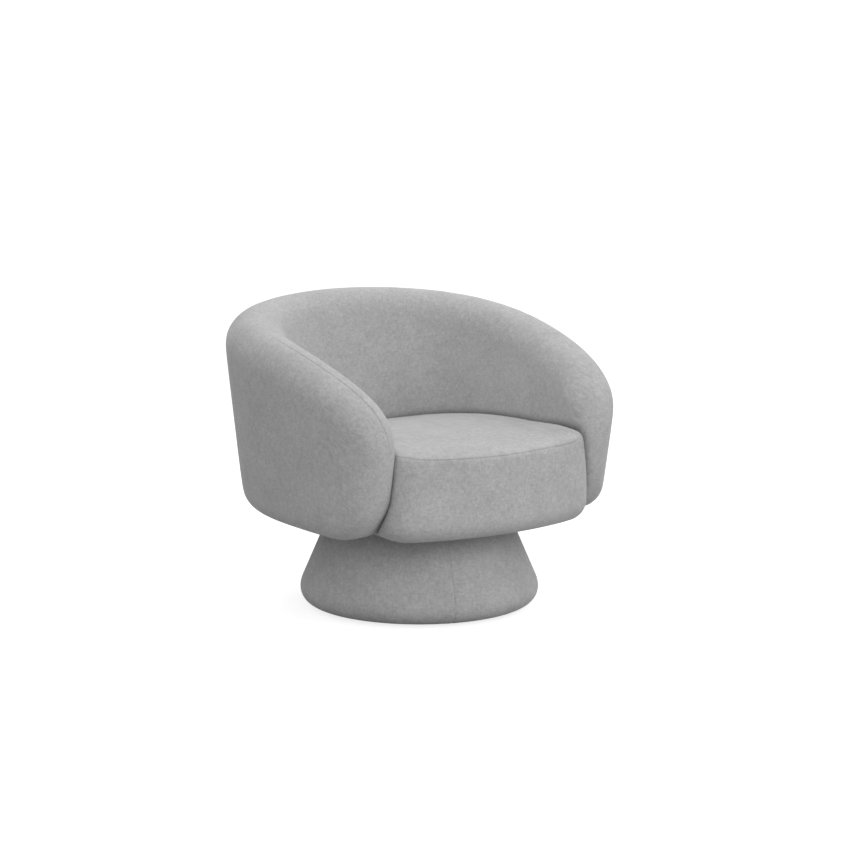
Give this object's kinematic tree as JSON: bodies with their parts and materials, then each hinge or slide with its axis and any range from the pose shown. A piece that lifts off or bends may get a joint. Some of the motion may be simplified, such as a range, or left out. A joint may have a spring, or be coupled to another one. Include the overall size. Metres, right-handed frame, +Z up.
{
  "type": "swivel armchair",
  "caption": "Upholstered tub armchair with a one-piece curved wall for back and arms and a thick seat, turning freely on a round sloping fabric pedestal.",
  "frame": {"origin": "on the floor under the swivel axis", "axes": "+Z up along the swivel axis, the chair faces -Y, +X is the sitter's left"},
  "size_m": [0.8, 0.8093, 0.6867],
  "materials": {
    "cover_fabric": "short felt-like grey upholstery weave",
    "foam": "open-cell upholstery foam",
    "cambric": "thin black non-woven cloth",
    "plywood": "raw birch plywood",
    "hardwood": "planed hardwood",
    "zinc_steel": "zinc plated",
    "polished_steel": "polished balls",
    "black_plastic": "moulded plastic"
  },
  "bodies": {
    "pedestal": {"glides": "black_plastic", "pedestal_ring": "plywood", "pedestal_ribs": "plywood", "pedestal_disc": "plywood", "pedestal_skin": "plywood", "pedestal_foam": "foam", "pedestal_cover": "cover_fabric", "pedestal_dust_cover": "cambric", "swivel_lower_plate": "zinc_steel", "lower_plate_bolts": "zinc_steel", "lower_tee_nuts": "zinc_steel", "kingpin": "zinc_steel", "kingpin_washer": "zinc_steel", "kingpin_nut": "zinc_steel"},
    "ball_ring": {"ball_cage": "black_plastic", "bearing_balls": "polished_steel"},
    "tub": {"seat_cover": "cover_fabric", "wall_outer_cover": "cover_fabric", "wall_inner_cover": "cover_fabric", "seat_foam": "foam", "wall_foam": "foam", "seat_dust_cover": "cambric", "seat_board": "plywood", "wall_posts": "plywood", "rim_rail": "plywood", "wall_inner_panel": "plywood", "wall_outer_panel": "plywood", "front_rail": "hardwood", "rear_rail": "hardwood", "side_rails": "hardwood", "swivel_upper_plate": "zinc_steel", "upper_plate_bolts": "zinc_steel", "upper_tee_nuts": "zinc_steel", "post_screws": "zinc_steel", "seat_springs": "zinc_steel", "spring_clips": "zinc_steel"}
  },
  "joints": [
    {"name": "seat_swivel", "type": "hinge", "parent": "pedestal", "child": "tub", "pos_m": [0, 0, 0.2112], "axis": [0, 0, 1], "continuous": true},
    {"name": "ball_ring_roll", "type": "hinge", "parent": "pedestal", "child": "ball_ring", "pos_m": [0, 0, 0.2112], "axis": [0, 0, 1], "continuous": true}
  ],
  "couplings": [
    {"joint": "ball_ring_roll", "follows": "seat_swivel", "ratio": 0.5}
  ]
}
